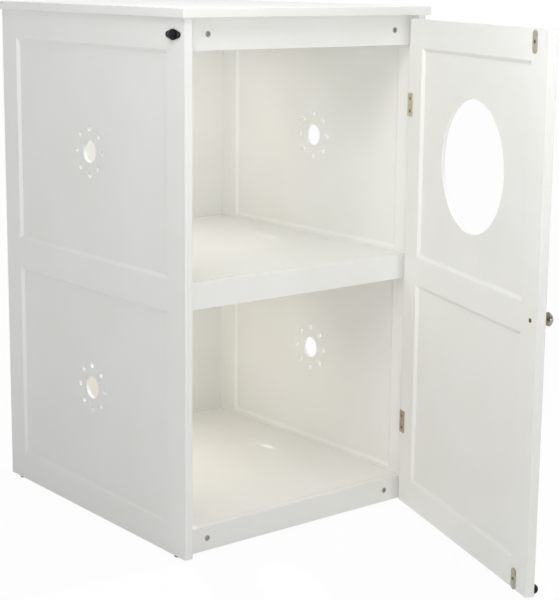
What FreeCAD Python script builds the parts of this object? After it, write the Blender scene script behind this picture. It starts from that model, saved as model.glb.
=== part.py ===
import FreeCAD, Part
import math
import os

from FreeCAD import Vector

# Cat litter box cabinet: a two-storey painted board cabinet with one inset door.
# Millimetres. +X runs across the front to the right, +Y from front to back, +Z up.
# Everything is built with the door shut and the front edges of the sides at y = 0,
# then the door is turned to its rest angle and the whole moved so that the origin
# is the middle of the base of the bounding box.

# ---- carcass ----------------------------------------------------------------
cabinet_width = 516.0            # over both side frames
cabinet_depth = 578.0            # side frames, front edge to back edge
side_height = 885.0
side_thickness = 15.0
top_thickness = 15.0
top_overhang = 7.0               # left, right and front; the back is flush
rail_thickness = 15.0
shelf_thickness = 15.0
back_thickness = 4.0
back_rebate = 8.0                # how far the back board laps over each side
back_fit = 0.3                   # clearance round the back board's edges
edge_round = 0.6                 # sanded edges of the painted boards
top_edge_round = 1.5

# ---- framed panels (sides and door) -----------------------------------------
side_stile_width = 50.0          # flat faces, without the sloping edges
side_top_rail = 50.0
side_middle_rail = 52.0
side_bottom_rail = 50.0
side_middle_centre = 440.0       # height of the middle rail's centre line
bevel_width = 5.5                # sloping edges of the stiles and rails round an infill board
bevel_lip = 0.8                  # thickness left at the foot of the slope
joint_easing = 0.5               # eased rail ends, which show as a fine line at each joint
infill_thickness = 6.0
groove_depth = 8.0
groove_fit = 0.5                 # space left at the bottom of a groove

# ---- front rails, shelf and floor -------------------------------------------
front_top_rail = 52.0
front_middle_rail = 44.0
front_bottom_rail = 43.0
rear_top_rail = 52.0
shelf_top = 460.0                # height above the sides' lower edge
door_stop_gap = 1.5              # from the shut door's back to the front rails

# ---- air holes in the side panels -------------------------------------------
vent_centre_hole = 40.0
vent_small_hole = 10.0
vent_ring = 80.0
vent_count = 8

# ---- door -------------------------------------------------------------------
door_thickness = 15.0
door_stile_width = 50.0
door_rail = 48.0
door_hinge_gap = 3.0
door_free_gap = 2.0
door_top_gap = 6.0
door_bottom_gap = 5.0
door_hole = 220.0                # the cat's way in
door_hole_round = 0.6
door_rest_angle = 71.0           # how far the door stands open

# ---- hinges: the door leaf wraps round the door's edge ----------------------
hinge_height = 40.5
hinge_leaf = 1.2                 # sheet thickness
hinge_knuckle = 7.0
hinge_pin = 3.5
hinge_pin_fit = 0.05             # radial running clearance
hinge_pin_head = 5.0
hinge_pin_head_height = 1.0
hinge_knuckle_gap = 0.3
hinge_knuckles = 5
hinge_front_gap = 0.5            # knuckle to the door's front face
hinge_side_leaf_depth = 14.0
hinge_wrap_leaf = 17.5           # the part of the door leaf on the door's back
hinge_leaf_round = 1.0
upper_hinge_from_door_top = 148.5
lower_hinge_from_door_bottom = 150.5
hinge_screw_pitch = 22.0

# ---- door knob --------------------------------------------------------------
knob_reach = 23.0
knob_diameter = 22.5
knob_rim_height = 16.0           # the widest part, above the door's face
knob_shoulder = 20.5             # across the underside of the cap
knob_shoulder_height = 13.5
knob_neck = 10.0
knob_neck_top = 11.0
knob_base = 14.0
knob_base_height = 2.0
knob_base_slope = 2.0            # from the base's edge up to the neck
knob_from_edge = 21.0
knob_screw_head = 7.0
knob_screw_head_height = 1.1     # thin enough to pass the front middle rail
knob_screw_head_round = 0.7
knob_screw_shank = 4.0
knob_screw_in_knob = 12.0
knob_screw_recess = 0.9

# ---- magnetic catches and strike plates -------------------------------------
catch_inset = 42.0               # from the side's inner face to the catch's centre
catch_sleeve = 11.0
catch_depth = 10.0
catch_magnet = 8.0
catch_magnet_recess = 0.8
strike_width = 14.0
strike_height = 35.0
strike_thickness = 1.2

# ---- buffers and feet -------------------------------------------------------
buffer_length = 39.0
buffer_flange = 2.0
buffer_ear = 4.5                 # radius of the rounded ear
buffer_dome = 17.8
buffer_dome_skirt = 3.0          # height at which the dome starts
buffer_height = 9.0
buffer_screw_pitch = 30.0
side_buffer_to_rail = 20.0       # from its centre to the joint of the front stile and the top rail
side_buffer_from_top = 26.0
door_buffer_diameter = 16.0
door_buffer_skirt = 3.5
door_buffer_height = 11.0
door_buffer_from_edge = 9.5
door_buffer_from_bottom = 9.0
foot_height = 4.0
foot_diameter = 12.0
foot_bevel = 1.0
nail_diameter = 2.5              # of the feet and the door's buffer
nail_length = 9.0
foot_from_front = 32.0
foot_from_back = 30.0

# ---- screws, cam fittings and dowels ----------------------------------------
screw_shank = 3.0
screw_head = 6.0
screw_head_height = 1.6
screw_length = 11.0
screw_cross = 3.2                # driver recess, across its arms
screw_cross_width = 0.9
screw_cross_depth = 1.0
cam_diameter = 15.0
cam_depth = 12.0
cam_distance = 24.0              # from the board's end to the cam's centre
cam_slot_width = 2.0
cam_slot_depth = 2.0
cam_mouth = 7.0
bolt_thread = 5.0
bolt_thread_length = 9.0
bolt_shank = 5.6
bolt_head = 6.0
bolt_head_height = 3.0
bolt_neck = 3.5
dowel_diameter = 6.0
dowel_in_face = 8.0
dowel_in_end = 18.0
cam_from_edge = 90.0             # shelf and top fittings, from the front and back
dowel_from_edge = 130.0
rail_cam_from_bottom = 15.0
rail_dowel_from_top = 12.0
back_screw_count = 3

# ---- worked out from the above ----------------------------------------------
half_width = cabinet_width / 2
inner_half = half_width - side_thickness
side_bottom = foot_height
side_top = side_bottom + side_height
rail_front = door_thickness + door_stop_gap
shelf_front = rail_front + rail_thickness
back_front = cabinet_depth - back_thickness
door_left = -inner_half + door_free_gap
door_right = inner_half - door_hinge_gap
door_width = door_right - door_left
door_bottom = side_bottom + door_bottom_gap
door_top = side_top - door_top_gap
door_height = door_top - door_bottom
pivot_x = inner_half - door_hinge_gap / 2
pivot_y = -hinge_front_gap - hinge_knuckle / 2
catch_x = inner_half - catch_inset
top_rail_centre = side_top - front_top_rail / 2
bottom_rail_centre = side_bottom + front_bottom_rail / 2

UP = Vector(0, 0, 1)
BACK = Vector(0, 1, 0)
RIGHT = Vector(1, 0, 0)

nodes = {}


# ---- shapes -----------------------------------------------------------------
def block(low, high):
    """A box between two corners."""
    size = high - low
    return Part.makeBox(size.x, size.y, size.z, low)


def rod(start, direction, diameter, length):
    return Part.makeCylinder(diameter / 2, length, start, direction)


def edges_along(shape, axis):
    """The straight edges that run along one axis."""
    edges = []
    for edge in shape.Edges:
        run = edge.Vertexes[-1].Point - edge.Vertexes[0].Point
        if run.Length > 0 and abs(run.dot(axis)) > 0.999 * run.Length:
            edges.append(edge)
    return edges


def plank(low, high, axis):
    board = block(low, high)
    return board.makeFillet(edge_round, edges_along(board, axis))


def turned(points, start, direction):
    """Turn an outline of (radius, distance) points round the line from start."""
    outline = [Vector(radius, 0, distance) for radius, distance in points]
    face = Part.Face(Part.makePolygon(outline + outline[:1]))
    solid = face.revolve(Vector(0, 0, 0), UP, 360)
    solid.Placement = FreeCAD.Placement(start, FreeCAD.Rotation(UP, direction))
    return solid


def turned_dome(points, top, start, direction):
    """Turn an outline of (radius, distance) points that a dome closes, up to top on the axis."""
    outline = [Vector(radius, 0, distance) for radius, distance in points]
    edges = [Part.makeLine(first, second) for first, second in zip(outline[:-1], outline[1:])]
    rim_radius, rim = points[-1]
    rise = top - rim
    dome_radius = (rim_radius ** 2 + rise ** 2) / (2 * rise)
    half_way = math.asin(rim_radius / dome_radius) / 2
    middle = Vector(dome_radius * math.sin(half_way), 0, top - dome_radius * (1 - math.cos(half_way)))
    crown = Vector(0, 0, top)
    edges.append(Part.Arc(outline[-1], middle, crown).toShape())
    edges.append(Part.makeLine(crown, outline[0]))
    solid = Part.Face(Part.Wire(edges)).revolve(Vector(0, 0, 0), UP, 360)
    solid.Placement = FreeCAD.Placement(start, FreeCAD.Rotation(UP, direction))
    return solid


def drill(name, tool):
    nodes[name] = nodes[name].cut(tool)


# ---- fasteners --------------------------------------------------------------
def screw_outline(length):
    return [(0, 0), (screw_head / 2, 0), (screw_shank / 2, screw_head_height),
            (screw_shank / 2, length - screw_shank), (0, length)]


def cross_recess(start, direction, depth):
    """A driver recess: two crossed slots, cut into a screw head."""
    tool = None
    for along, across in ((screw_cross, screw_cross_width), (screw_cross_width, screw_cross)):
        arm = Part.makeBox(along, across, depth, Vector(-along / 2, -across / 2, 0))
        tool = arm if tool is None else tool.fuse(arm)
    tool.Placement = FreeCAD.Placement(start, FreeCAD.Rotation(UP, direction))
    return tool


def wood_screw(start, direction, through, length=screw_length):
    """A countersunk screw; the pieces it passes through are drilled to it."""
    body = turned(screw_outline(length), start, direction)
    for name in through:
        drill(name, body)
    return body.cut(cross_recess(start, direction, screw_cross_depth))


def bolt_outline():
    """A cam bolt from the tip of its thread to its head in the cam."""
    neck_start = cam_distance - cam_mouth / 2
    head_start = cam_distance - bolt_head_height / 2
    head_end = cam_distance + bolt_head_height / 2
    return [(0, -bolt_thread_length), (bolt_thread / 2, -bolt_thread_length), (bolt_thread / 2, 0),
            (bolt_shank / 2, 0), (bolt_shank / 2, neck_start), (bolt_neck / 2, neck_start),
            (bolt_neck / 2, head_start), (bolt_head / 2, head_start), (bolt_head / 2, head_end),
            (0, head_end)]


def cam_joint(face_name, board_name, point, into_board, cam_opening, board_half):
    """A cam bolt in a board's face that a cam in the other board's end pulls tight."""
    bolt = turned(bolt_outline(), point, into_board)
    drill(face_name, bolt)
    bolt_way = rod(point, into_board, cam_mouth, cam_distance)
    cam_centre = point + into_board * cam_distance + cam_opening * board_half
    cam = rod(cam_centre, cam_opening * -1, cam_diameter, cam_depth)
    drill(board_name, bolt_way.fuse(cam))
    mouth = rod(point, into_board, cam_mouth, cam_distance + cam_mouth / 2)
    slot = Part.makeBox(cam_mouth, cam_slot_width, cam_slot_depth,
                        Vector(-cam_mouth / 2, -cam_slot_width / 2, 0))
    slot.Placement = FreeCAD.Placement(cam_centre, FreeCAD.Rotation(UP, cam_opening * -1))
    return bolt, cam.cut(mouth).cut(slot)


def dowel_joint(face_name, board_name, point, into_board):
    start = point - into_board * dowel_in_face
    dowel = rod(start, into_board, dowel_diameter, dowel_in_face + dowel_in_end)
    drill(face_name, dowel)
    drill(board_name, dowel)
    return dowel


# ---- framed panels ----------------------------------------------------------
def moulded(across, along, flat_low, flat_high, bevels, thickness, length):
    """A stile or rail along one axis; each edge is plain and rounded, or slopes to an infill board."""
    slope = (thickness - infill_thickness) / 2 - bevel_lip
    low_edge = [(flat_low, thickness), (flat_low, 0)]
    high_edge = [(flat_high, 0), (flat_high, thickness)]
    if bevels[0]:
        foot = flat_low - bevel_width
        low_edge[1:1] = [(foot, thickness - slope), (foot, slope)]
    if bevels[1]:
        foot = flat_high + bevel_width
        high_edge[1:1] = [(foot, slope), (foot, thickness - slope)]
    outline = [across * width + BACK * depth for width, depth in low_edge + high_edge]
    piece = Part.Face(Part.makePolygon(outline + outline[:1])).extrude(along * length)
    plain = [flat for flat, bevelled in ((flat_low, bevels[0]), (flat_high, bevels[1])) if not bevelled]
    arrises = [edge for edge in edges_along(piece, along)
               if any(abs(edge.CenterOfMass.dot(across) - flat) < edge_round for flat in plain)]
    return piece.makeFillet(edge_round, arrises) if arrises else piece


def framed_panel(width, height, thickness, stile, top_rail, middle_rail, bottom_rail, centre):
    """Stiles, rails and two infill boards, from x = 0 and z = 0, y through the thickness."""
    middle_low = centre - middle_rail / 2
    middle_high = centre + middle_rail / 2
    top_low = height - top_rail
    groove_low = (thickness - infill_thickness) / 2
    groove_high = groove_low + infill_thickness
    tongue = groove_depth - groove_fit
    inner_low = stile + bevel_width
    inner_high = width - inner_low

    def stile_piece(flat_low, bevels, groove_x):
        piece = moulded(RIGHT, UP, flat_low, flat_low + stile, bevels, thickness, height)
        return piece.cut(block(Vector(groove_x, groove_low, 0),
                               Vector(groove_x + groove_depth, groove_high, height)))

    near_stile = stile_piece(0, (False, True), inner_low - groove_depth)
    far_stile = stile_piece(width - stile, (True, False), inner_high)

    def rail_piece(flat_low, flat_high, bevels):
        """A rail with tongues, its ends cut to lie over the slopes of the stiles."""
        piece = moulded(UP, RIGHT, flat_low, flat_high, bevels, thickness, width - 2 * stile)
        faces = [edge for edge in edges_along(piece, UP)
                 if abs(edge.CenterOfMass.y - thickness / 2) > thickness / 2 - bevel_lip]
        piece = piece.makeChamfer(joint_easing, faces)
        piece.translate(RIGHT * stile)
        low_z = flat_low - bevel_width if bevels[0] else flat_low
        high_z = flat_high + bevel_width if bevels[1] else flat_high
        piece = piece.fuse(block(Vector(inner_low - tongue, groove_low, low_z),
                                 Vector(inner_high + tongue, groove_high, high_z)))
        piece = piece.cut(near_stile).cut(far_stile)
        for bevelled, groove_z in zip(bevels, (low_z, high_z - groove_depth)):
            if bevelled:
                piece = piece.cut(block(Vector(0, groove_low, groove_z),
                                        Vector(width, groove_high, groove_z + groove_depth)))
        return piece.removeSplitter()

    def infill_piece(low_z, high_z):
        """A thin board in the grooves, between two rails' flat faces."""
        inset = bevel_width - tongue
        return block(Vector(inner_low - tongue, groove_low, low_z + inset),
                     Vector(inner_high + tongue, groove_high, high_z - inset))

    return {
        "near_stile": near_stile,
        "far_stile": far_stile,
        "top_rail": rail_piece(top_low, height, (True, False)),
        "middle_rail": rail_piece(middle_low, middle_high, (True, True)),
        "bottom_rail": rail_piece(0, bottom_rail, (False, True)),
        "upper_panel": infill_piece(middle_high, top_low),
        "lower_panel": infill_piece(bottom_rail, middle_low),
    }


def vent_tool(centre):
    """One large air hole in a ring of small ones, cut through an upright panel."""
    start = centre - BACK * side_thickness
    length = 2 * side_thickness
    tool = rod(start, BACK, vent_centre_hole, length)
    for index in range(vent_count):
        angle = math.radians(360 / vent_count * index)
        offset = Vector(math.cos(angle), 0, math.sin(angle)) * (vent_ring / 2)
        tool = tool.fuse(rod(start + offset, BACK, vent_small_hole, length))
    return tool


def side_frames():
    """Both sides, which are alike: framed panels with air holes in the infill boards."""
    opening_low = side_middle_centre - side_middle_rail / 2
    opening_high = side_middle_centre + side_middle_rail / 2
    vent_heights = {
        "upper_panel": (opening_high + side_height - side_top_rail) / 2,
        "lower_panel": (side_bottom_rail + opening_low) / 2,
    }
    plain_names = {"near_stile": "front_stile", "far_stile": "rear_stile"}
    pieces = framed_panel(cabinet_depth, side_height, side_thickness, side_stile_width, side_top_rail,
                          side_middle_rail, side_bottom_rail, side_middle_centre)
    for name, height in vent_heights.items():
        pieces[name] = pieces[name].cut(vent_tool(Vector(cabinet_depth / 2, side_thickness / 2, height)))
    for side, inner_x in (("left", -inner_half), ("right", half_width)):
        for name, piece in pieces.items():
            placed = piece.copy()
            placed.rotate(Vector(0, 0, 0), UP, 90)
            placed.translate(Vector(inner_x, 0, side_bottom))
            nodes[side + "_" + plain_names.get(name, name)] = placed


# ---- boards between the sides -----------------------------------------------
def cross_boards():
    def rail(name, front, low_z, high_z):
        nodes[name] = plank(Vector(-inner_half, front, low_z),
                            Vector(inner_half, front + rail_thickness, high_z), RIGHT)

    middle_top = side_bottom + shelf_top
    bottom_top = side_bottom + front_bottom_rail
    rail("front_top_rail", rail_front, side_top - front_top_rail, side_top)
    rail("front_middle_rail", rail_front, middle_top - front_middle_rail, middle_top)
    rail("front_bottom_rail", rail_front, side_bottom, bottom_top)
    rail("rear_top_rail", back_front - rail_thickness, side_top - rear_top_rail, side_top)
    for name, top_z in (("middle_shelf", middle_top), ("bottom_floor", bottom_top)):
        nodes[name] = block(Vector(-inner_half, shelf_front, top_z - shelf_thickness),
                            Vector(inner_half, back_front, top_z))


def back_board():
    """A thin board let into a rebate in each side's rear stile."""
    reach = inner_half + back_rebate
    for name in ("left_rear_stile", "right_rear_stile"):
        drill(name, block(Vector(-reach, back_front, 0), Vector(reach, cabinet_depth, side_top)))
    nodes["back_panel"] = block(Vector(back_fit - reach, back_front, side_bottom + back_fit),
                                Vector(reach - back_fit, cabinet_depth, side_top - back_fit))


def top_board():
    low = Vector(-half_width - top_overhang, -top_overhang, side_top)
    high = Vector(half_width + top_overhang, cabinet_depth, side_top + top_thickness)
    board = block(low, high)
    nodes["top_board"] = board.makeFillet(top_edge_round, board.Edges)


# ---- fittings that hold the carcass -----------------------------------------
def carcass_fittings():
    bolts = []
    cams = []
    dowels = []

    def add_cam(*place):
        bolt, cam = cam_joint(*place)
        bolts.append(bolt)
        cams.append(cam)

    rails = (("front_top_rail", "front_stile", rail_front, side_top, front_top_rail, 1),
             ("front_middle_rail", "front_stile", rail_front, side_bottom + shelf_top,
              front_middle_rail, 1),
             ("front_bottom_rail", "front_stile", rail_front, side_bottom + front_bottom_rail,
              front_bottom_rail, 1),
             ("rear_top_rail", "rear_stile", back_front - rail_thickness, side_top, rear_top_rail, -1))
    for side, sign in (("left", -1), ("right", 1)):
        inward = RIGHT * -sign
        face_x = sign * inner_half
        for rail, stile, front, high_z, height, cam_way in rails:
            middle_y = front + rail_thickness / 2
            cam_point = Vector(face_x, middle_y, high_z - height + rail_cam_from_bottom)
            dowel_point = Vector(face_x, middle_y, high_z - rail_dowel_from_top)
            add_cam(side + "_" + stile, rail, cam_point, inward, BACK * cam_way, rail_thickness / 2)
            dowels.append(dowel_joint(side + "_" + stile, rail, dowel_point, inward))
        for board, rail, top_z in (("middle_shelf", "middle_rail", side_bottom + shelf_top),
                                   ("bottom_floor", "bottom_rail", side_bottom + front_bottom_rail)):
            middle_z = top_z - shelf_thickness / 2
            for y in (cam_from_edge, cabinet_depth - cam_from_edge):
                add_cam(side + "_" + rail, board, Vector(face_x, y, middle_z), inward, UP * -1,
                        shelf_thickness / 2)
            for y in (dowel_from_edge, cabinet_depth - dowel_from_edge):
                dowels.append(dowel_joint(side + "_" + rail, board, Vector(face_x, y, middle_z), inward))
        middle_x = sign * (half_width - side_thickness / 2)
        for y in (cam_from_edge, cabinet_depth - cam_from_edge):
            add_cam("top_board", side + "_top_rail", Vector(middle_x, y, side_top), UP * -1, inward,
                    side_thickness / 2)
        for y in (dowel_from_edge, cabinet_depth - dowel_from_edge):
            dowels.append(dowel_joint("top_board", side + "_top_rail",
                                      Vector(middle_x, y, side_top), UP * -1))
    nodes["cam_bolts"] = Part.makeCompound(bolts)
    nodes["cam_locks"] = Part.makeCompound(cams)
    nodes["dowels"] = Part.makeCompound(dowels)


def back_screws():
    screws = []
    heights = (("rear_top_rail", side_top - rear_top_rail / 2),
               ("middle_shelf", side_bottom + shelf_top - shelf_thickness / 2),
               ("bottom_floor", side_bottom + front_bottom_rail - shelf_thickness / 2))
    for board, height in heights:
        for index in range(back_screw_count):
            x = inner_half * 2 * ((index + 0.5) / back_screw_count - 0.5)
            start = Vector(x, cabinet_depth, height)
            screws.append(wood_screw(start, BACK * -1, ("back_panel", board)))
    nodes["back_screws"] = Part.makeCompound(screws)


# ---- feet -------------------------------------------------------------------
def feet():
    glides = []
    foot_radius = foot_diameter / 2
    nail_top = foot_height + nail_length
    outline = [(0, 0), (foot_radius - foot_bevel, 0), (foot_radius, foot_bevel), (foot_radius, foot_height),
               (nail_diameter / 2, foot_height), (nail_diameter / 2, nail_top - nail_diameter),
               (0, nail_top)]
    for side, sign in (("left", -1), ("right", 1)):
        x = sign * (half_width - side_thickness / 2)
        for stile, y in (("front", foot_from_front), ("rear", cabinet_depth - foot_from_back)):
            glide = turned(outline, Vector(x, y, 0), UP)
            drill(side + "_" + stile + "_stile", glide)
            glides.append(glide)
    nodes["foot_glides"] = Part.makeCompound(glides)


# ---- magnetic catches -------------------------------------------------------
def catches():
    """Magnets in plastic sleeves at both ends of two rails: the door can hang on either side."""
    sleeves = []
    magnets = []
    for rail, height in (("front_top_rail", top_rail_centre), ("front_bottom_rail", bottom_rail_centre)):
        for x in (-catch_x, catch_x):
            mouth = Vector(x, rail_front, height)
            seat = rod(mouth, BACK, catch_sleeve, catch_depth)
            drill(rail, seat)
            wall = (catch_sleeve - catch_magnet) / 2
            sleeves.append(seat.cut(rod(mouth, BACK, catch_magnet, catch_depth - wall)))
            magnets.append(rod(mouth + BACK * catch_magnet_recess, BACK, catch_magnet,
                               catch_depth - wall - catch_magnet_recess))
    nodes["catch_sleeves"] = Part.makeCompound(sleeves)
    nodes["catch_magnets"] = Part.makeCompound(magnets)


# ---- buffers ----------------------------------------------------------------
def buffer_shape():
    """A two-eared flange with a domed button, standing on z = 0 with its ears along x."""
    ear_x = buffer_length / 2 - buffer_ear
    hub = buffer_dome / 2
    body = turned_dome([(0, 0), (hub, 0), (hub, buffer_dome_skirt)], buffer_height, Vector(0, 0, 0), UP)
    for sign in (-1, 1):
        ear = rod(Vector(sign * ear_x, 0, 0), UP, 2 * buffer_ear, buffer_flange)
        lean = math.acos((hub - buffer_ear) / ear_x)
        corners = []
        for side in (1, -1):
            away = Vector(sign * math.cos(lean), side * math.sin(lean), 0)
            corners.append((away * hub, Vector(sign * ear_x, 0, 0) + away * buffer_ear))
        outline = [corners[0][0], corners[0][1], corners[1][1], corners[1][0]]
        web = Part.Face(Part.makePolygon(outline + outline[:1])).extrude(UP * buffer_flange)
        body = body.fuse(web).fuse(ear)
    return body.removeSplitter()


def side_buffer():
    """Seat the eared buffer on the left front stile and screw it through its ears."""
    centre = Vector(-half_width, side_stile_width - side_buffer_to_rail, side_top - side_buffer_from_top)
    outward = RIGHT * -1
    piece = buffer_shape()
    turn = FreeCAD.Rotation(BACK, outward.cross(BACK), outward, "ZXY")
    piece.Placement = FreeCAD.Placement(centre, turn)
    nodes["side_buffer"] = piece
    screws = []
    for sign in (-1, 1):
        start = centre + BACK * (sign * buffer_screw_pitch / 2) + outward * buffer_flange
        screws.append(wood_screw(start, RIGHT, ("side_buffer", "left_front_stile")))
    nodes["side_buffer_screws"] = Part.makeCompound(screws)


def door_buffer():
    """A round domed buffer, nailed to the door's face at its lower free corner."""
    radius = door_buffer_diameter / 2
    nail = nail_diameter / 2
    outline = [(0, -nail_length), (nail, nail_diameter - nail_length), (nail, 0), (radius, 0),
               (radius, door_buffer_skirt)]
    centre = Vector(door_left + door_buffer_from_edge, 0, door_bottom + door_buffer_from_bottom)
    piece = turned_dome(outline, door_buffer_height, centre, BACK * -1)
    nodes["door_buffer"] = piece
    drill("door_free_stile", piece)


# ---- door -------------------------------------------------------------------
def door_panels():
    pieces = framed_panel(door_width, door_height, door_thickness, door_stile_width, door_rail,
                          door_rail, door_rail, door_height / 2)
    hole_height = (door_height / 2 + door_rail / 2 + door_height - door_rail) / 2
    hole_start = Vector(door_width / 2, -door_thickness, hole_height)
    panel = pieces["upper_panel"].cut(rod(hole_start, BACK, door_hole, 3 * door_thickness))
    rims = [edge for edge in panel.Edges if isinstance(edge.Curve, Part.Circle)]
    pieces["upper_panel"] = panel.makeFillet(door_hole_round, rims)
    plain_names = {"near_stile": "free_stile", "far_stile": "hinge_stile"}
    for name, piece in pieces.items():
        piece.translate(Vector(door_left, 0, door_bottom))
        nodes["door_" + plain_names.get(name, name)] = piece


def strike_plates():
    """Rounded steel plates on the door's back that meet the magnets."""
    screws = []
    for name, height in (("upper_strike_plate", top_rail_centre), ("lower_strike_plate", bottom_rail_centre)):
        centre = Vector(-catch_x, door_thickness, height)
        straight = (strike_height - strike_width) / 2
        plate = block(centre - Vector(strike_width / 2, 0, straight),
                      centre + Vector(strike_width / 2, strike_thickness, straight))
        for end in (-straight, straight):
            plate = plate.fuse(rod(centre + UP * end, BACK, strike_width, strike_thickness))
        nodes[name] = plate.removeSplitter()
        screws.append(wood_screw(centre + BACK * strike_thickness, BACK * -1, (name, "door_free_stile")))
    nodes["strike_screws"] = Part.makeCompound(screws)


def knob():
    """A mushroom knob, drawn to the door by a machine screw from the back."""
    x = door_left + knob_from_edge
    height = door_bottom + door_height / 2
    outline = [(0, 0), (knob_base / 2, 0), (knob_base / 2, knob_base_height),
               (knob_neck / 2, knob_base_height + knob_base_slope), (knob_neck / 2, knob_neck_top),
               (knob_shoulder / 2, knob_shoulder_height), (knob_diameter / 2, knob_rim_height)]
    nodes["knob"] = turned_dome(outline, knob_reach, Vector(x, 0, height), BACK * -1)

    back = Vector(x, door_thickness, height)
    shank = rod(back, BACK * -1, knob_screw_shank, door_thickness + knob_screw_in_knob)
    drill("door_free_stile", shank)
    drill("knob", shank)
    head = rod(back, BACK, knob_screw_head, knob_screw_head_height)
    head = head.makeFillet(knob_screw_head_round, [head.Edges[0]])
    recess = cross_recess(back + BACK * knob_screw_head_height, BACK * -1, knob_screw_recess)
    nodes["knob_screw"] = shank.fuse(head).removeSplitter().cut(recess)


# ---- hinges -----------------------------------------------------------------
def knuckle_spans(centre, parity):
    """Heights of one leaf's knuckles: the two leaves take turns along the pin."""
    low = centre - hinge_height / 2
    pitch = hinge_height / hinge_knuckles
    spans = []
    for index in range(hinge_knuckles):
        if index % 2 == parity:
            start = low + index * pitch + hinge_knuckle_gap / 2
            spans.append((start, start + pitch - hinge_knuckle_gap))
    return spans


def leaf_knuckles(leaf, centre, parity, low_x, high_x, neck_end):
    """Add rolled knuckles to a leaf, each on a neck, and bore them for the pin."""
    for low_z, high_z in knuckle_spans(centre, parity):
        barrel = rod(Vector(pivot_x, pivot_y, low_z), UP, hinge_knuckle, high_z - low_z)
        neck = block(Vector(low_x, pivot_y, low_z), Vector(high_x, neck_end, high_z))
        leaf = leaf.fuse(barrel).fuse(neck)
    bore = rod(Vector(pivot_x, pivot_y, centre - hinge_height), UP,
               hinge_pin + 2 * hinge_pin_fit, 2 * hinge_height)
    return leaf.cut(bore).removeSplitter()


def hinge(position, centre):
    """A wrap hinge: one leaf on the side, one round the door's edge onto its back, one pin."""
    low_z = centre - hinge_height / 2
    high_z = centre + hinge_height / 2
    leaf_start = pivot_y + hinge_knuckle / 2 + hinge_knuckle_gap

    side_leaf = block(Vector(inner_half - hinge_leaf, leaf_start, low_z),
                      Vector(inner_half, hinge_side_leaf_depth, high_z))
    side_leaf = leaf_knuckles(side_leaf, centre, 0, inner_half - hinge_leaf, inner_half, leaf_start)
    nodes[position + "_hinge_side_leaf"] = side_leaf

    door_leaf = block(Vector(door_right, leaf_start, low_z),
                      Vector(door_right + hinge_leaf, door_thickness + hinge_leaf, high_z))
    wrap = block(Vector(door_right - hinge_wrap_leaf, door_thickness, low_z),
                 Vector(door_right + hinge_leaf, door_thickness + hinge_leaf, high_z))
    corners = [edge for edge in wrap.Edges
               if abs(edge.CenterOfMass.x - (door_right - hinge_wrap_leaf)) < hinge_leaf / 2
               and abs(edge.CenterOfMass.y - (door_thickness + hinge_leaf / 2)) < hinge_leaf / 4]
    wrap = wrap.makeFillet(hinge_leaf_round, corners)
    door_leaf = leaf_knuckles(door_leaf.fuse(wrap), centre, 1, door_right, door_right + hinge_leaf,
                              leaf_start)
    nodes[position + "_hinge_door_leaf"] = door_leaf

    pin_length = hinge_height + 2 * hinge_pin_head_height
    pin = rod(Vector(pivot_x, pivot_y, low_z - hinge_pin_head_height), UP, hinge_pin, pin_length)
    for head_low in (low_z - hinge_pin_head_height, high_z):
        pin = pin.fuse(rod(Vector(pivot_x, pivot_y, head_low), UP, hinge_pin_head, hinge_pin_head_height))
    nodes[position + "_hinge_pin"] = pin.removeSplitter()


def hinges():
    side_screws = []
    door_screws = []
    leaf_start = pivot_y + hinge_knuckle / 2 + hinge_knuckle_gap
    side_screw_y = (leaf_start + hinge_side_leaf_depth) / 2
    for position, centre in (("upper", door_top - upper_hinge_from_door_top),
                             ("lower", door_bottom + lower_hinge_from_door_bottom)):
        hinge(position, centre)
        for sign in (-1, 1):
            height = centre + sign * hinge_screw_pitch / 2
            side_start = Vector(inner_half - hinge_leaf, side_screw_y, height)
            side_screws.append(wood_screw(side_start, RIGHT,
                                          (position + "_hinge_side_leaf", "right_front_stile")))
            door_start = Vector(door_right - hinge_wrap_leaf / 2, door_thickness + hinge_leaf, height)
            door_screws.append(wood_screw(door_start, BACK * -1,
                                          (position + "_hinge_door_leaf", "door_hinge_stile")))
    nodes["hinge_side_screws"] = Part.makeCompound(side_screws)
    nodes["hinge_door_screws"] = Part.makeCompound(door_screws)


# ---- build, set the rest pose and write -------------------------------------
def is_on_door(name):
    return name.startswith("door_") or name in ("upper_hinge_door_leaf", "lower_hinge_door_leaf",
                                                "hinge_door_screws", "upper_strike_plate",
                                                "lower_strike_plate", "strike_screws", "knob",
                                                "knob_screw")


def build():
    side_frames()
    cross_boards()
    back_board()
    top_board()
    carcass_fittings()
    back_screws()
    feet()
    catches()
    side_buffer()
    door_panels()
    strike_plates()
    knob()
    door_buffer()
    hinges()
    for name, shape in nodes.items():
        if is_on_door(name):
            shape.rotate(Vector(pivot_x, pivot_y, 0), UP, door_rest_angle)


def write():
    box = Part.makeCompound(list(nodes.values())).BoundBox
    to_origin = Vector(-box.Center.x, -box.Center.y, -box.ZMin)
    os.makedirs("parts", exist_ok=True)
    for name, shape in nodes.items():
        shape.translate(to_origin)
        shape.exportStep("parts/" + name + ".step")
    print("nodes", len(nodes))
    print("size", round(box.XLength, 3), round(box.YLength, 3), round(box.ZLength, 3))
    print("hinge axis", round(pivot_x + to_origin.x, 4), round(pivot_y + to_origin.y, 4))


build()
write()
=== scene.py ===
import math

import bpy
from mathutils import Matrix, Vector


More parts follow.
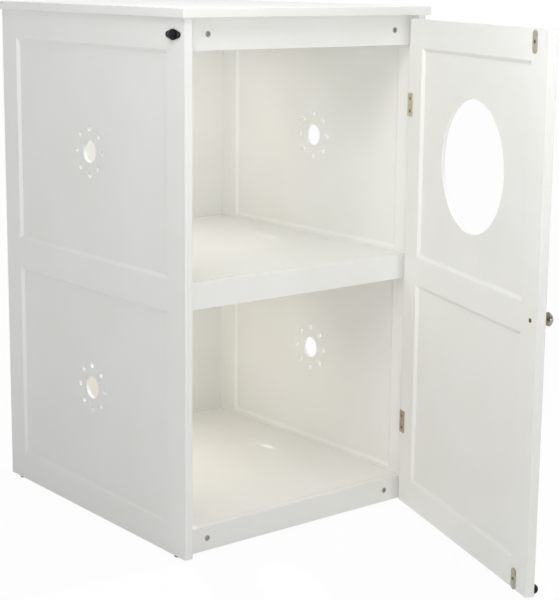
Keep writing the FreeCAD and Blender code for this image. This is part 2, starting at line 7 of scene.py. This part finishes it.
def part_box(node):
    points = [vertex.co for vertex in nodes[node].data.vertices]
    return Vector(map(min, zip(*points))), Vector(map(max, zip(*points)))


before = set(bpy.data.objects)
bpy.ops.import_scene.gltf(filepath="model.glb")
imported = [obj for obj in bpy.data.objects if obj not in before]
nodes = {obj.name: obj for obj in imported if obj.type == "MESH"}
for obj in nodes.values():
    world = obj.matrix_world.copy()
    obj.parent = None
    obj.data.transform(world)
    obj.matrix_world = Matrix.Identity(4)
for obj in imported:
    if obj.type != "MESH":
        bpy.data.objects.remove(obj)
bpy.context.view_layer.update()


# ---- side frames ------------------------------------------------------------
# Stiles and rails of fibreboard, 15 mm thick, tongued together round thin infill
# boards. Each frame is sprayed with satin white lacquer after gluing, so the coat
# bridges the joints and is thinnest along the sanded edges.
mm = 0.001                       # the frame is in metres
frame_white = "F1F1EF"
frame_shaded = "EFEFEB"          # where the coat is a little thinner
lacquer_edge = "DCD6C8"          # the board, faintly through the coat
lacquer_dullness = 0.36          # roughness of a satin lacquer
lacquer_ior = 1.5
cloud_size = 140 * mm            # slow change of tone over a board
ripple_size = 9 * mm             # orange peel of 2 to 3 mm, drawn coarser so that it shows from a step away
ripple_depth = 0.10 * mm
peel_size = 2.4 * mm             # the same orange peel at its own size, for close views
peel_depth = 0.02 * mm
nib_spacing = 18 * mm            # dust nibs caught in the wet coat
nib_share = 0.035                # width of a nib as a share of that spacing
nib_height = 0.10 * mm
edge_width = 1.8 * mm            # rubbed edges are under 1 mm, drawn wider so that they show
rubbed_patch = 110 * mm          # length of the rubbed stretches along an edge
rubbed_from, rubbed_to = 0.42, 0.66    # noise values over which a stretch goes from whole to rubbed
rubbed_strength = 0.35
rubbed_polish = 0.15             # how much less rough a rubbed edge is
noise_low, noise_high = 0.3, 0.7    # what the values of a noise pattern mostly lie between


def linear(hex_colour):
    """An sRGB hex colour as linear red, green, blue and alpha."""
    colour = []
    for start in (0, 2, 4):
        value = int(hex_colour[start:start + 2], 16) / 255
        colour.append(value / 12.92 if value <= 0.04045 else ((value + 0.055) / 1.055) ** 2.4)
    return (*colour, 1.0)


def add_node(tree, kind, output, inputs, **settings):
    """Add a node with its settings and links and give one of its outputs; sockets go by identifier."""
    node = tree.nodes.new(kind)
    for name, value in settings.items():
        setattr(node, name, value)
    sockets = {socket.identifier: socket for socket in node.inputs}
    for name, value in inputs.items():
        if isinstance(value, bpy.types.NodeSocket):
            tree.links.new(value, sockets[name])
        else:
            sockets[name].default_value = value
    outputs = {socket.identifier: socket for socket in node.outputs}
    return outputs[output] if output else None


def bare_material(name):
    """A material with no nodes yet, and its tree."""
    material = bpy.data.materials.new(name)
    material.use_nodes = True
    material.node_tree.nodes.clear()
    return material, material.node_tree


def dress(piece, material):
    """Give a CAD piece a material in place of the plain one it came with."""
    for slot in nodes[piece].material_slots:
        slot.material = material


def two_tones(tree, pattern, light, dark):
    """Go from a light to a dark hex colour where a noise pattern rises."""
    share = add_node(tree, "ShaderNodeMapRange", "Result",
                     {"Value": pattern, "From Min": noise_low, "From Max": noise_high})
    return add_node(tree, "ShaderNodeMix", "Result_Color",
                    {"Factor_Float": share, "A_Color": linear(light), "B_Color": linear(dark)},
                    data_type="RGBA")


def board_box(piece):
    """How far a board is turned about Z, then its middle and half size once it is turned back."""
    mesh = nodes[piece].data
    side = max(mesh.polygons, key=lambda face: face.area * (1 - abs(face.normal.z))).normal
    turn = math.atan2(side.y, side.x)
    corners = [Matrix.Rotation(-turn, 3, "Z") @ vertex.co for vertex in mesh.vertices]
    low = Vector([min(corner[axis] for corner in corners) for axis in range(3)])
    high = Vector([max(corner[axis] for corner in corners) for axis in range(3)])
    return turn, (low + high) / 2, (high - low) / 2


def sprayed_lacquer(name, piece, light, shaded, dullness):
    """Satin lacquer on fibreboard.

    It gives the eye an even white with a soft sheen: slow clouds of tone, the ripple of
    a spray gun, a few dust nibs, and edges where the coat is thin and rubbed.
    """
    material, tree = bare_material(name + "." + piece)
    place = add_node(tree, "ShaderNodeTexCoord", "Object", {})

    clouds = add_node(tree, "ShaderNodeTexNoise", "Fac",
                      {"Vector": place, "Scale": 1 / cloud_size, "Detail": 3.0})
    coat = two_tones(tree, clouds, light, shaded)

    # The distance to the nearest edge is the second smallest of the distances to the board's faces.
    turn, middle, half = board_box(piece)
    turned = add_node(tree, "ShaderNodeVectorRotate", "Vector", {"Vector": place, "Angle": -turn},
                      rotation_type="Z_AXIS")
    from_middle = add_node(tree, "ShaderNodeVectorMath", "Vector", {"Vector": turned, "Vector_001": middle},
                           operation="SUBTRACT")
    reach = add_node(tree, "ShaderNodeVectorMath", "Vector", {"Vector": from_middle}, operation="ABSOLUTE")
    depth = add_node(tree, "ShaderNodeVectorMath", "Vector", {"Vector": half, "Vector_001": reach},
                     operation="SUBTRACT")
    depths = {axis: add_node(tree, "ShaderNodeSeparateXYZ", axis, {"Vector": depth}) for axis in "XYZ"}
    nearer = add_node(tree, "ShaderNodeMath", "Value", {"Value": depths["X"], "Value_001": depths["Y"]},
                      operation="MINIMUM")
    farther = add_node(tree, "ShaderNodeMath", "Value", {"Value": depths["X"], "Value_001": depths["Y"]},
                       operation="MAXIMUM")
    other = add_node(tree, "ShaderNodeMath", "Value", {"Value": farther, "Value_001": depths["Z"]},
                     operation="MINIMUM")
    from_edge = add_node(tree, "ShaderNodeMath", "Value", {"Value": nearer, "Value_001": other},
                         operation="MAXIMUM")
    at_edge = add_node(tree, "ShaderNodeMapRange", "Result",
                       {"Value": from_edge, "From Min": edge_width, "From Max": 0.0})
    handling = add_node(tree, "ShaderNodeTexNoise", "Fac",
                        {"Vector": place, "Scale": 1 / rubbed_patch, "Detail": 1.0})
    patches = add_node(tree, "ShaderNodeMapRange", "Result",
                       {"Value": handling, "From Min": rubbed_from, "From Max": rubbed_to,
                        "To Max": rubbed_strength})
    rubbed = add_node(tree, "ShaderNodeMath", "Value", {"Value": at_edge, "Value_001": patches},
                      operation="MULTIPLY")
    colour = add_node(tree, "ShaderNodeMix", "Result_Color",
                      {"Factor_Float": rubbed, "A_Color": coat, "B_Color": linear(lacquer_edge)},
                      data_type="RGBA")

    ripple = add_node(tree, "ShaderNodeTexNoise", "Fac",
                      {"Vector": place, "Scale": 1 / ripple_size, "Detail": 1.0})
    peel = add_node(tree, "ShaderNodeTexNoise", "Fac",
                    {"Vector": place, "Scale": 1 / peel_size, "Detail": 1.0})
    cells = add_node(tree, "ShaderNodeTexVoronoi", "Distance", {"Vector": place, "Scale": 1 / nib_spacing})
    nibs = add_node(tree, "ShaderNodeMapRange", "Result",
                    {"Value": cells, "From Min": nib_share, "From Max": 0.0})
    rippled = add_node(tree, "ShaderNodeBump", "Normal", {"Height": ripple, "Distance": ripple_depth})
    peeled = add_node(tree, "ShaderNodeBump", "Normal",
                      {"Height": peel, "Distance": peel_depth, "Normal": rippled})
    surface = add_node(tree, "ShaderNodeBump", "Normal",
                       {"Height": nibs, "Distance": nib_height, "Normal": peeled})

    sheen = add_node(tree, "ShaderNodeMapRange", "Result",
                     {"Value": ripple, "From Min": noise_low, "From Max": noise_high,
                      "To Min": dullness - 0.03, "To Max": dullness + 0.04})
    roughness = add_node(tree, "ShaderNodeMath", "Value",
                         {"Value": rubbed, "Value_001": -rubbed_polish, "Value_002": sheen},
                         operation="MULTIPLY_ADD")
    shader = add_node(tree, "ShaderNodeBsdfPrincipled", "BSDF",
                      {"Base Color": colour, "Roughness": roughness, "IOR": lacquer_ior, "Normal": surface})
    add_node(tree, "ShaderNodeOutputMaterial", None, {"Surface": shader})
    return material


def spray_frame(piece):
    """Dress a stile or a rail in satin lacquer."""
    dress(piece, sprayed_lacquer("satin_white_lacquer", piece, frame_white, frame_shaded, lacquer_dullness))


for side in ("left_", "right_"):
    for part in ("front_stile", "rear_stile", "top_rail", "middle_rail", "bottom_rail"):
        spray_frame(side + part)


# ---- side infill boards -----------------------------------------------------
# Thin fibreboard let into the frames' grooves, with a rosette of air holes bored
# through. The thin board drinks more lacquer, so it dries flatter than the frames.
infill_white = "F1F1EF"
infill_shaded = "EEEEEA"
infill_dullness = 0.40


def spray_infill(piece):
    """Dress an infill board in flat lacquer."""
    dress(piece, sprayed_lacquer("flat_white_lacquer", piece, infill_white, infill_shaded, infill_dullness))


for side in ("left_", "right_"):
    for part in ("upper_panel", "lower_panel"):
        spray_infill(side + part)


# ---- front and rear rails ---------------------------------------------------
# Rails of the same board between the two sides, sprayed with them. The front ones
# carry the magnets and stop the door.
for piece in ("front_top_rail", "front_middle_rail", "front_bottom_rail", "rear_top_rail"):
    spray_frame(piece)


# ---- shelf, floor and top board ---------------------------------------------
# The boards that things stand on. They are lacquered twice and rubbed down in
# between, which leaves a smoother and slightly glossier white.
shelf_dullness = 0.31

for piece in ("middle_shelf", "bottom_floor", "top_board"):
    dress(piece, sprayed_lacquer("rubbed_white_lacquer", piece, frame_white, frame_shaded, shelf_dullness))


# ---- back panel -------------------------------------------------------------
# Hardboard, 4 mm thick with a printed white face, let into the rear stiles. The
# print is duller than lacquer and shows the dimples of the press.
print_white = "F0F0ED"
print_shaded = "EDEDE9"
press_dimple = 4 * mm            # really about 1.5 mm, drawn coarser so that it shows
press_depth = 0.04 * mm
print_smoothest, print_roughest = 0.5, 0.6


def printed_hardboard():
    """Printed hardboard. It gives the eye a flat, slightly dimpled white with no sheen of lacquer."""
    material, tree = bare_material("printed_white_hardboard")
    place = add_node(tree, "ShaderNodeTexCoord", "Object", {})
    clouds = add_node(tree, "ShaderNodeTexNoise", "Fac",
                      {"Vector": place, "Scale": 1 / cloud_size, "Detail": 3.0})
    colour = two_tones(tree, clouds, print_white, print_shaded)
    dimples = add_node(tree, "ShaderNodeTexVoronoi", "Distance",
                       {"Vector": place, "Scale": 1 / press_dimple}, feature="SMOOTH_F1")
    surface = add_node(tree, "ShaderNodeBump", "Normal", {"Height": dimples, "Distance": press_depth})
    roughness = add_node(tree, "ShaderNodeMapRange", "Result",
                         {"Value": clouds, "To Min": print_smoothest, "To Max": print_roughest})
    shader = add_node(tree, "ShaderNodeBsdfPrincipled", "BSDF",
                      {"Base Color": colour, "Roughness": roughness, "IOR": lacquer_ior, "Normal": surface})
    add_node(tree, "ShaderNodeOutputMaterial", None, {"Surface": shader})
    return material


dress("back_panel", printed_hardboard())


# ---- cam bolts and back screws ----------------------------------------------
# Turned steel, zinc plated in a barrel. The bolts are hidden in the joints; the
# screws' heads show on the back panel.
zinc_light = "C6C4BE"
zinc_dark = "A9A69E"
barrel_scuff = 0.5 * mm
scuff_depth = 0.02 * mm
zinc_stain = 4 * mm
zinc_smoothest, zinc_roughest = 0.26, 0.42


def barrel_plated_steel():
    """Zinc plated steel. It gives the eye a dull blue-white metal, scuffed all over by the barrel."""
    material, tree = bare_material("zinc_plated_steel")
    place = add_node(tree, "ShaderNodeTexCoord", "Object", {})
    scuffs = add_node(tree, "ShaderNodeTexNoise", "Fac",
                      {"Vector": place, "Scale": 1 / barrel_scuff, "Detail": 3.0})
    stains = add_node(tree, "ShaderNodeTexNoise", "Fac",
                      {"Vector": place, "Scale": 1 / zinc_stain, "Detail": 2.0})
    colour = two_tones(tree, stains, zinc_light, zinc_dark)
    roughness = add_node(tree, "ShaderNodeMapRange", "Result",
                         {"Value": scuffs, "From Min": noise_low, "From Max": noise_high,
                          "To Min": zinc_smoothest, "To Max": zinc_roughest})
    surface = add_node(tree, "ShaderNodeBump", "Normal", {"Height": scuffs, "Distance": scuff_depth})
    shader = add_node(tree, "ShaderNodeBsdfPrincipled", "BSDF",
                      {"Base Color": colour, "Metallic": 1.0, "Roughness": roughness, "Normal": surface})
    add_node(tree, "ShaderNodeOutputMaterial", None, {"Surface": shader})
    return material


plated_steel = barrel_plated_steel()
dress("cam_bolts", plated_steel)
dress("back_screws", plated_steel)


# ---- cams -------------------------------------------------------------------
# Cast zinc cams in the undersides of the boards, which pull the bolts tight. They
# are used as cast, grey and slightly pebbled.
cast_light = "A9A9A6"
cast_dark = "8E8E8B"
cast_pebble = 0.9 * mm
pebble_depth = 0.05 * mm
cast_smoothest, cast_roughest = 0.42, 0.58


def cast_zinc():
    """Die-cast zinc. It gives the eye a soft grey metal with a pebbled skin."""
    material, tree = bare_material("die_cast_zinc")
    place = add_node(tree, "ShaderNodeTexCoord", "Object", {})
    pebbles = add_node(tree, "ShaderNodeTexNoise", "Fac",
                       {"Vector": place, "Scale": 1 / cast_pebble, "Detail": 4.0, "Roughness": 0.6})
    colour = two_tones(tree, pebbles, cast_light, cast_dark)
    roughness = add_node(tree, "ShaderNodeMapRange", "Result",
                         {"Value": pebbles, "From Min": noise_low, "From Max": noise_high,
                          "To Min": cast_smoothest, "To Max": cast_roughest})
    surface = add_node(tree, "ShaderNodeBump", "Normal", {"Height": pebbles, "Distance": pebble_depth})
    shader = add_node(tree, "ShaderNodeBsdfPrincipled", "BSDF",
                      {"Base Color": colour, "Metallic": 1.0, "Roughness": roughness, "Normal": surface})
    add_node(tree, "ShaderNodeOutputMaterial", None, {"Surface": shader})
    return material


dress("cam_locks", cast_zinc())


# ---- dowels -----------------------------------------------------------------
# Pressed beech dowels, glued across every joint beside the cams. They are hidden
# once the cabinet stands.
beech_light = "D9B98D"
beech_dark = "BE9566"
beech_fleck = 0.6 * mm
fleck_stretch = 8                # beech's flecks are this much longer than wide
fleck_depth = 0.08 * mm
beech_smoothest, beech_roughest = 0.5, 0.75
beech_ior = 1.5


def pressed_beech():
    """Beech. It gives the eye pale tan wood with short darker flecks along the grain."""
    material, tree = bare_material("pressed_beech")
    place = add_node(tree, "ShaderNodeTexCoord", "Object", {})
    along = add_node(tree, "ShaderNodeMapping", "Vector",
                     {"Vector": place, "Scale": (1 / fleck_stretch, 1.0, 1.0)})
    flecks = add_node(tree, "ShaderNodeTexNoise", "Fac",
                      {"Vector": along, "Scale": 1 / beech_fleck, "Detail": 5.0, "Roughness": 0.7})
    colour = two_tones(tree, flecks, beech_light, beech_dark)
    roughness = add_node(tree, "ShaderNodeMapRange", "Result",
                         {"Value": flecks, "To Min": beech_smoothest, "To Max": beech_roughest})
    surface = add_node(tree, "ShaderNodeBump", "Normal", {"Height": flecks, "Distance": fleck_depth})
    shader = add_node(tree, "ShaderNodeBsdfPrincipled", "BSDF",
                      {"Base Color": colour, "Roughness": roughness, "IOR": beech_ior, "Normal": surface})
    add_node(tree, "ShaderNodeOutputMaterial", None, {"Surface": shader})
    return material


dress("dowels", pressed_beech())


# ---- foot glides ------------------------------------------------------------
# Nail-on glides of dark grey polyethylene under each stile, moulded with a
# matt skin that the floor rubs paler.
glide_grey = "333331"
glide_rubbed = "4C4B48"
glide_dullness = 0.5
glide_skin = 0.7 * mm
skin_depth = 0.04 * mm
worn_spot = 6 * mm               # size of the patches that are rubbed paler
worn_from, worn_to = 0.4, 0.75    # noise values over which such a patch goes pale
plastic_ior = 1.5


def moulded_plastic(name, colour, rubbed_colour, dullness, skin, sheen=0.5):
    """Moulded plastic. It gives the eye one deep tone, rubbed paler in patches, under a matt skin."""
    material, tree = bare_material(name)
    place = add_node(tree, "ShaderNodeTexCoord", "Object", {})
    grain = add_node(tree, "ShaderNodeTexNoise", "Fac", {"Vector": place, "Scale": 1 / skin, "Detail": 3.0})
    rubbing = add_node(tree, "ShaderNodeTexNoise", "Fac",
                       {"Vector": place, "Scale": 1 / worn_spot, "Detail": 4.0, "Roughness": 0.65})
    rubbed_share = add_node(tree, "ShaderNodeMapRange", "Result",
                            {"Value": rubbing, "From Min": worn_from, "From Max": worn_to})
    tone = add_node(tree, "ShaderNodeMix", "Result_Color",
                    {"Factor_Float": rubbed_share, "A_Color": linear(colour),
                     "B_Color": linear(rubbed_colour)}, data_type="RGBA")
    roughness = add_node(tree, "ShaderNodeMapRange", "Result",
                         {"Value": grain, "From Min": noise_low, "From Max": noise_high,
                          "To Min": dullness - 0.06, "To Max": dullness + 0.08})
    surface = add_node(tree, "ShaderNodeBump", "Normal", {"Height": grain, "Distance": skin_depth})
    shader = add_node(tree, "ShaderNodeBsdfPrincipled", "BSDF",
                      {"Base Color": tone, "Roughness": roughness, "IOR": plastic_ior,
                       "Specular IOR Level": sheen, "Normal": surface})
    add_node(tree, "ShaderNodeOutputMaterial", None, {"Surface": shader})
    return material


dress("foot_glides",
      moulded_plastic("dark_polyethylene", glide_grey, glide_rubbed, glide_dullness, glide_skin))


# ---- magnetic catches -------------------------------------------------------
# Push-in catches at both ends of the top and bottom rails: a nickel plated disc
# magnet, sunk a little in a grey acetal sleeve.
sleeve_grey = "BAB9B3"
sleeve_rubbed = "CBCAC4"
magnet_light = "A8A59D"
magnet_dark = "6C6962"
brush_stretch = 20               # the lines of a brush are this much longer than wide
brush_depth = 0.012 * mm
handling_stain = 5 * mm

dress("catch_sleeves",
      moulded_plastic("grey_acetal", sleeve_grey, sleeve_rubbed, dullness=0.35, skin=0.6 * mm))


def brushed_plating(name, light, dark, dullness, brush):
    """Nickel plate, or a black dip, over brushed steel.

    It gives the eye a metal that is streaked along its height and has slightly
    darker stains where it has been handled. On the knob the dark stains are also
    painted reflection.
    """
    material, tree = bare_material(name)
    place = add_node(tree, "ShaderNodeTexCoord", "Object", {})
    along = add_node(tree, "ShaderNodeMapping", "Vector",
                     {"Vector": place, "Scale": (1.0, 1.0, 1 / brush_stretch)})
    lines = add_node(tree, "ShaderNodeTexNoise", "Fac",
                     {"Vector": along, "Scale": 1 / brush, "Detail": 4.0, "Roughness": 0.6})
    stains = add_node(tree, "ShaderNodeTexNoise", "Fac",
                      {"Vector": place, "Scale": 1 / handling_stain, "Detail": 3.0, "Roughness": 0.6})
    colour = two_tones(tree, stains, light, dark)
    roughness = add_node(tree, "ShaderNodeMapRange", "Result",
                         {"Value": lines, "From Min": noise_low, "From Max": noise_high,
                          "To Min": dullness - 0.07, "To Max": dullness + 0.09})
    surface = add_node(tree, "ShaderNodeBump", "Normal", {"Height": lines, "Distance": brush_depth})
    shader = add_node(tree, "ShaderNodeBsdfPrincipled", "BSDF",
                      {"Base Color": colour, "Metallic": 1.0, "Roughness": roughness, "Normal": surface})
    add_node(tree, "ShaderNodeOutputMaterial", None, {"Surface": shader})
    return material


dress("catch_magnets",
      brushed_plating("nickel_plated_magnet", magnet_light, magnet_dark, dullness=0.28, brush=0.5 * mm))


# ---- side buffer ------------------------------------------------------------
# A domed button of black nylon on a two-eared flange, screwed to the left side
# near its top front corner.
nylon_black = "09090A"
nylon_rubbed = "1B1B1C"
blackened_light = "5A5A59"       # the screws' heads, dipped black
blackened_dark = "2C2C2C"

black_nylon = moulded_plastic("black_nylon", nylon_black, nylon_rubbed,
                              dullness=0.42, skin=0.8 * mm, sheen=0.2)
dress("side_buffer", black_nylon)
dress("side_buffer_screws",
      brushed_plating("blackened_steel", blackened_light, blackened_dark, dullness=0.3, brush=0.5 * mm))


# ---- door -------------------------------------------------------------------
# An inset door made like the sides: stiles, rails and two infill boards. The
# cat's round hole is sawn in the upper board, and its rim is eased by hand.
for part in ("hinge_stile", "free_stile", "top_rail", "middle_rail", "bottom_rail"):
    spray_frame("door_" + part)
for part in ("upper_panel", "lower_panel"):
    spray_infill("door_" + part)


# ---- strike plates ----------------------------------------------------------
# Round-ended plates stamped from nickel plated steel, which the magnets hold. One
# countersunk screw fixes each to the door's back.
shade_darkened_screw_light = "7C7463"           # the screws' heads are darkened all over, painted shade for their slots
shade_darkened_screw_dark = "5C5548"

strike_lit_and_shaded_tones = {
    "upper": ("D2CCBF", "B9B1A2"),
    "lower": ("BAB2A1", "958D7B"),    # the lower one darker, as painted shade
}

for level, (light, dark) in strike_lit_and_shaded_tones.items():
    dress(level + "_strike_plate",
          brushed_plating("stamped_nickel_plate." + level, light, dark, dullness=0.38, brush=0.9 * mm))
# one darkened plating, painted shade for the slots, on every nickel screw
shade_darkened_screw_nickel = brushed_plating("nickel_plated_screw_painted_shade", shade_darkened_screw_light, shade_darkened_screw_dark, dullness=0.34, brush=0.7 * mm)
dress("strike_screws", shade_darkened_screw_nickel)


# ---- knob -------------------------------------------------------------------
# A turned mushroom knob in polished nickel, drawn to the door's front by a machine
# screw whose thin head sits on the back.
# the dark tone is partly handling stains and partly painted reflection of dark surroundings
knob_light = "B9B3A9"
knob_stain_and_reflection_dark = "6A645B"

dress("knob", brushed_plating("polished_nickel_painted_reflection", knob_light, knob_stain_and_reflection_dark, dullness=0.12, brush=1.2 * mm))
dress("knob_screw", shade_darkened_screw_nickel)


# ---- door buffer ------------------------------------------------------------
# A round black nylon button, nailed low on the door's front at its free edge.
dress("door_buffer", black_nylon)


# ---- hinges -----------------------------------------------------------------
# Two wrap-round hinges of nickel plated sheet. One leaf is screwed to the side's
# inner face, the other goes round the door's edge onto its back; a pin joins them.
hinge_lit_and_shaded_tones = {
    "upper": ("DDD5C2", "C0B7A1"),
    "lower": ("C8BEA8", "AAA08A"),    # the lower one darker, as painted shade
}

for level, (light, dark) in hinge_lit_and_shaded_tones.items():
    satin_nickel = brushed_plating("satin_nickel_sheet." + level, light, dark, dullness=0.4, brush=0.8 * mm)
    for part in ("side_leaf", "door_leaf", "pin"):
        dress(level + "_hinge_" + part, satin_nickel)
dress("hinge_side_screws", shade_darkened_screw_nickel)
dress("hinge_door_screws", shade_darkened_screw_nickel)


# ---- studio floor -----------------------------------------------------------
# A roll of pale paper that runs out to a white background. The camera sees it as
# plain white, except for a share of the shade that the cabinet throws on it.
floor_size = 30.0
paper_grey = "F2F2F2"
shade_seen = 0.05

half = floor_size / 2
floor_mesh = bpy.data.meshes.new("studio_floor")
floor_mesh.from_pydata([(-half, -half, 0), (half, -half, 0), (half, half, 0), (-half, half, 0)], [],
                       [(0, 1, 2, 3)])
studio_floor = bpy.data.objects.new("studio_floor", floor_mesh)
bpy.context.scene.collection.objects.link(studio_floor)


def seen_directly(tree):
    """1 for what the camera sees, straight or by mirror or glass, and 0 for light that bounces."""
    seen = add_node(tree, "ShaderNodeLightPath", "Is Camera Ray", {})
    for other in ("Is Glossy Ray", "Is Transmission Ray"):
        ray = add_node(tree, "ShaderNodeLightPath", other, {})
        seen = add_node(tree, "ShaderNodeMath", "Value", {"Value": seen, "Value_001": ray},
                        operation="MAXIMUM")
    return seen


def studio_paper():
    """White paper. It gives the eye a background with no grain, and soft shade under the feet."""
    material, tree = bare_material("white_studio_paper")
    paper = add_node(tree, "ShaderNodeBsdfDiffuse", "BSDF", {"Color": linear(paper_grey)})
    white = add_node(tree, "ShaderNodeEmission", "Emission", {"Color": linear("FFFFFF"), "Strength": 1.0})
    white_share = add_node(tree, "ShaderNodeMath", "Value",
                           {"Value": seen_directly(tree), "Value_001": 1 - shade_seen}, operation="MULTIPLY")
    surface = add_node(tree, "ShaderNodeMixShader", "Shader",
                       {"Fac": white_share, "Shader": paper, "Shader_001": white})
    add_node(tree, "ShaderNodeOutputMaterial", None, {"Surface": surface})
    return material


floor_mesh.materials.append(studio_paper())


# ---- light ------------------------------------------------------------------
# Even light from all round, a small high lamp on the right whose spots fall through
# the air holes, broad weak lamps round the cabinet, and soft panels that fill the
# air holes on the right, the door's inner face and the two compartments.
room_light = 0.25
panel_drop = 54 * mm             # how far the compartments' panels hang below the board above them
bounced_white = "FFFCF6"         # light among the lacquered boards is a little warm
deep_white = "FFF8EF"            # and warmer in the lower compartment

world = bpy.data.worlds.new("white_studio")
world.use_nodes = True
world.node_tree.nodes.clear()
room = add_node(world.node_tree, "ShaderNodeBackground", "Background",
                {"Color": linear("FFFFFF"), "Strength": room_light})
backdrop = add_node(world.node_tree, "ShaderNodeBackground", "Background",
                    {"Color": linear("FFFFFF"), "Strength": 1.0})
sky = add_node(world.node_tree, "ShaderNodeMixShader", "Shader",
               {"Fac": seen_directly(world.node_tree), "Shader": room, "Shader_001": backdrop})
add_node(world.node_tree, "ShaderNodeOutputWorld", None, {"Surface": sky})
bpy.context.scene.world = world


def aim(name, lamp, place, target):
    """Put a lamp at a place, with its light towards a target, and hide the lamp itself."""
    holder = bpy.data.objects.new(name, lamp)
    holder.location = place
    holder.rotation_euler = (Vector(place) - Vector(target)).to_track_quat("Z", "Y").to_euler()
    holder.visible_camera = False
    bpy.context.scene.collection.objects.link(holder)
    return holder


def distant_lamp(name, direction, spread_angle, strength):
    """A lamp far off in a direction, as wide in the sky as its angle in degrees."""
    lamp = bpy.data.lights.new(name, "SUN")
    lamp.angle = math.radians(spread_angle)
    lamp.energy = strength
    return aim(name, lamp, direction, (0.0, 0.0, 0.0))


def soft_panel(name, place, target, size, watts, colour="FFFFFF"):
    """A square panel of soft light, near the cabinet."""
    lamp = bpy.data.lights.new(name, "AREA")
    lamp.size = size
    lamp.energy = watts
    lamp.color = linear(colour)[:3]
    aim(name, lamp, place, target).visible_glossy = False    # its square would show in the gloss


distant_lamp("right_lamp", direction=(1.37, -0.15, 2.64), spread_angle=0.5, strength=1.25)
distant_lamp("camera_lamp", direction=(-1.85, -2.35, 0.06), spread_angle=14.0, strength=0.51)
distant_lamp("left_lamp", direction=(-3.0, -0.35, 0.35), spread_angle=30.0, strength=0.26)
back_lamp = distant_lamp("back_lamp", direction=(0.6, 3.0, 0.5), spread_angle=30.0, strength=0.60)
back_lamp.visible_glossy = False    # it would glare off the top board

soft_panel("right_panel", (1.2, -0.6, 0.25), target=(0.26, 0.23, 0.45), size=0.5, watts=3.0)
soft_panel("high_door_panel", (-0.7, -0.6, 1.7), target=(0.17, -0.3, 0.45), size=0.8, watts=8.6)
soft_panel("low_door_panel", (-0.27, -0.85, 0.9), target=(0.16, -0.29, 0.5), size=0.7, watts=1.55)

under_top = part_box("top_board")[0].z - panel_drop
under_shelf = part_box("middle_shelf")[0].z - panel_drop
soft_panel("upper_panel", (-0.10, 0.26, under_top), target=(-0.13, 0.42, 0.43),
           size=0.24, watts=0.40, colour=bounced_white)
soft_panel("upper_back_panel", (0.10, 0.20, 0.77), target=(-0.20, 0.50, 0.62),
           size=0.2, watts=0.24, colour=bounced_white)
soft_panel("lower_panel", (-0.10, 0.26, under_shelf), target=(-0.13, 0.42, 0.03),
           size=0.24, watts=0.62, colour=deep_white)


# ---- camera -----------------------------------------------------------------
# It stands in front and to the left, a little above the top board, as far off as
# a photographer would for a cabinet of this height.
camera_from_stile = Vector((-1.38601, -1.95734, 0.95474))    # from the left front stile's foot
camera_yaw = 38.67               # degrees, from straight ahead towards the right
camera_pitch = 10.75             # degrees, downwards
camera_roll = 0.55
picture_width, picture_height = 559, 600
focal_pixels = 1532.98
centre_x, centre_y = 273.5, 264.0

camera = bpy.data.cameras.new("camera")
camera.sensor_width = 36.0
camera.lens = camera.sensor_width * focal_pixels / picture_height
camera.shift_x = (picture_width / 2 - centre_x) / picture_height
camera.shift_y = (centre_y - picture_height / 2) / picture_height
camera.clip_start, camera.clip_end = 0.05, 100.0
camera_stand = bpy.data.objects.new("camera", camera)
bpy.context.scene.collection.objects.link(camera_stand)
yaw, pitch, roll = (math.radians(angle) for angle in (camera_yaw, camera_pitch, camera_roll))
ahead = Vector((math.sin(yaw) * math.cos(pitch), math.cos(yaw) * math.cos(pitch), -math.sin(pitch)))
across = Vector((math.cos(yaw), -math.sin(yaw), 0.0))
upward = across.cross(ahead)
right = across * math.cos(roll) + upward * math.sin(roll)
up = upward * math.cos(roll) - across * math.sin(roll)
camera_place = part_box("left_front_stile")[0] + camera_from_stile
camera_axes = Matrix((right, up, -ahead)).transposed().to_4x4()
camera_stand.matrix_world = Matrix.Translation(camera_place) @ camera_axes
bpy.context.scene.camera = camera_stand
bpy.context.scene.view_settings.view_transform = "Standard"
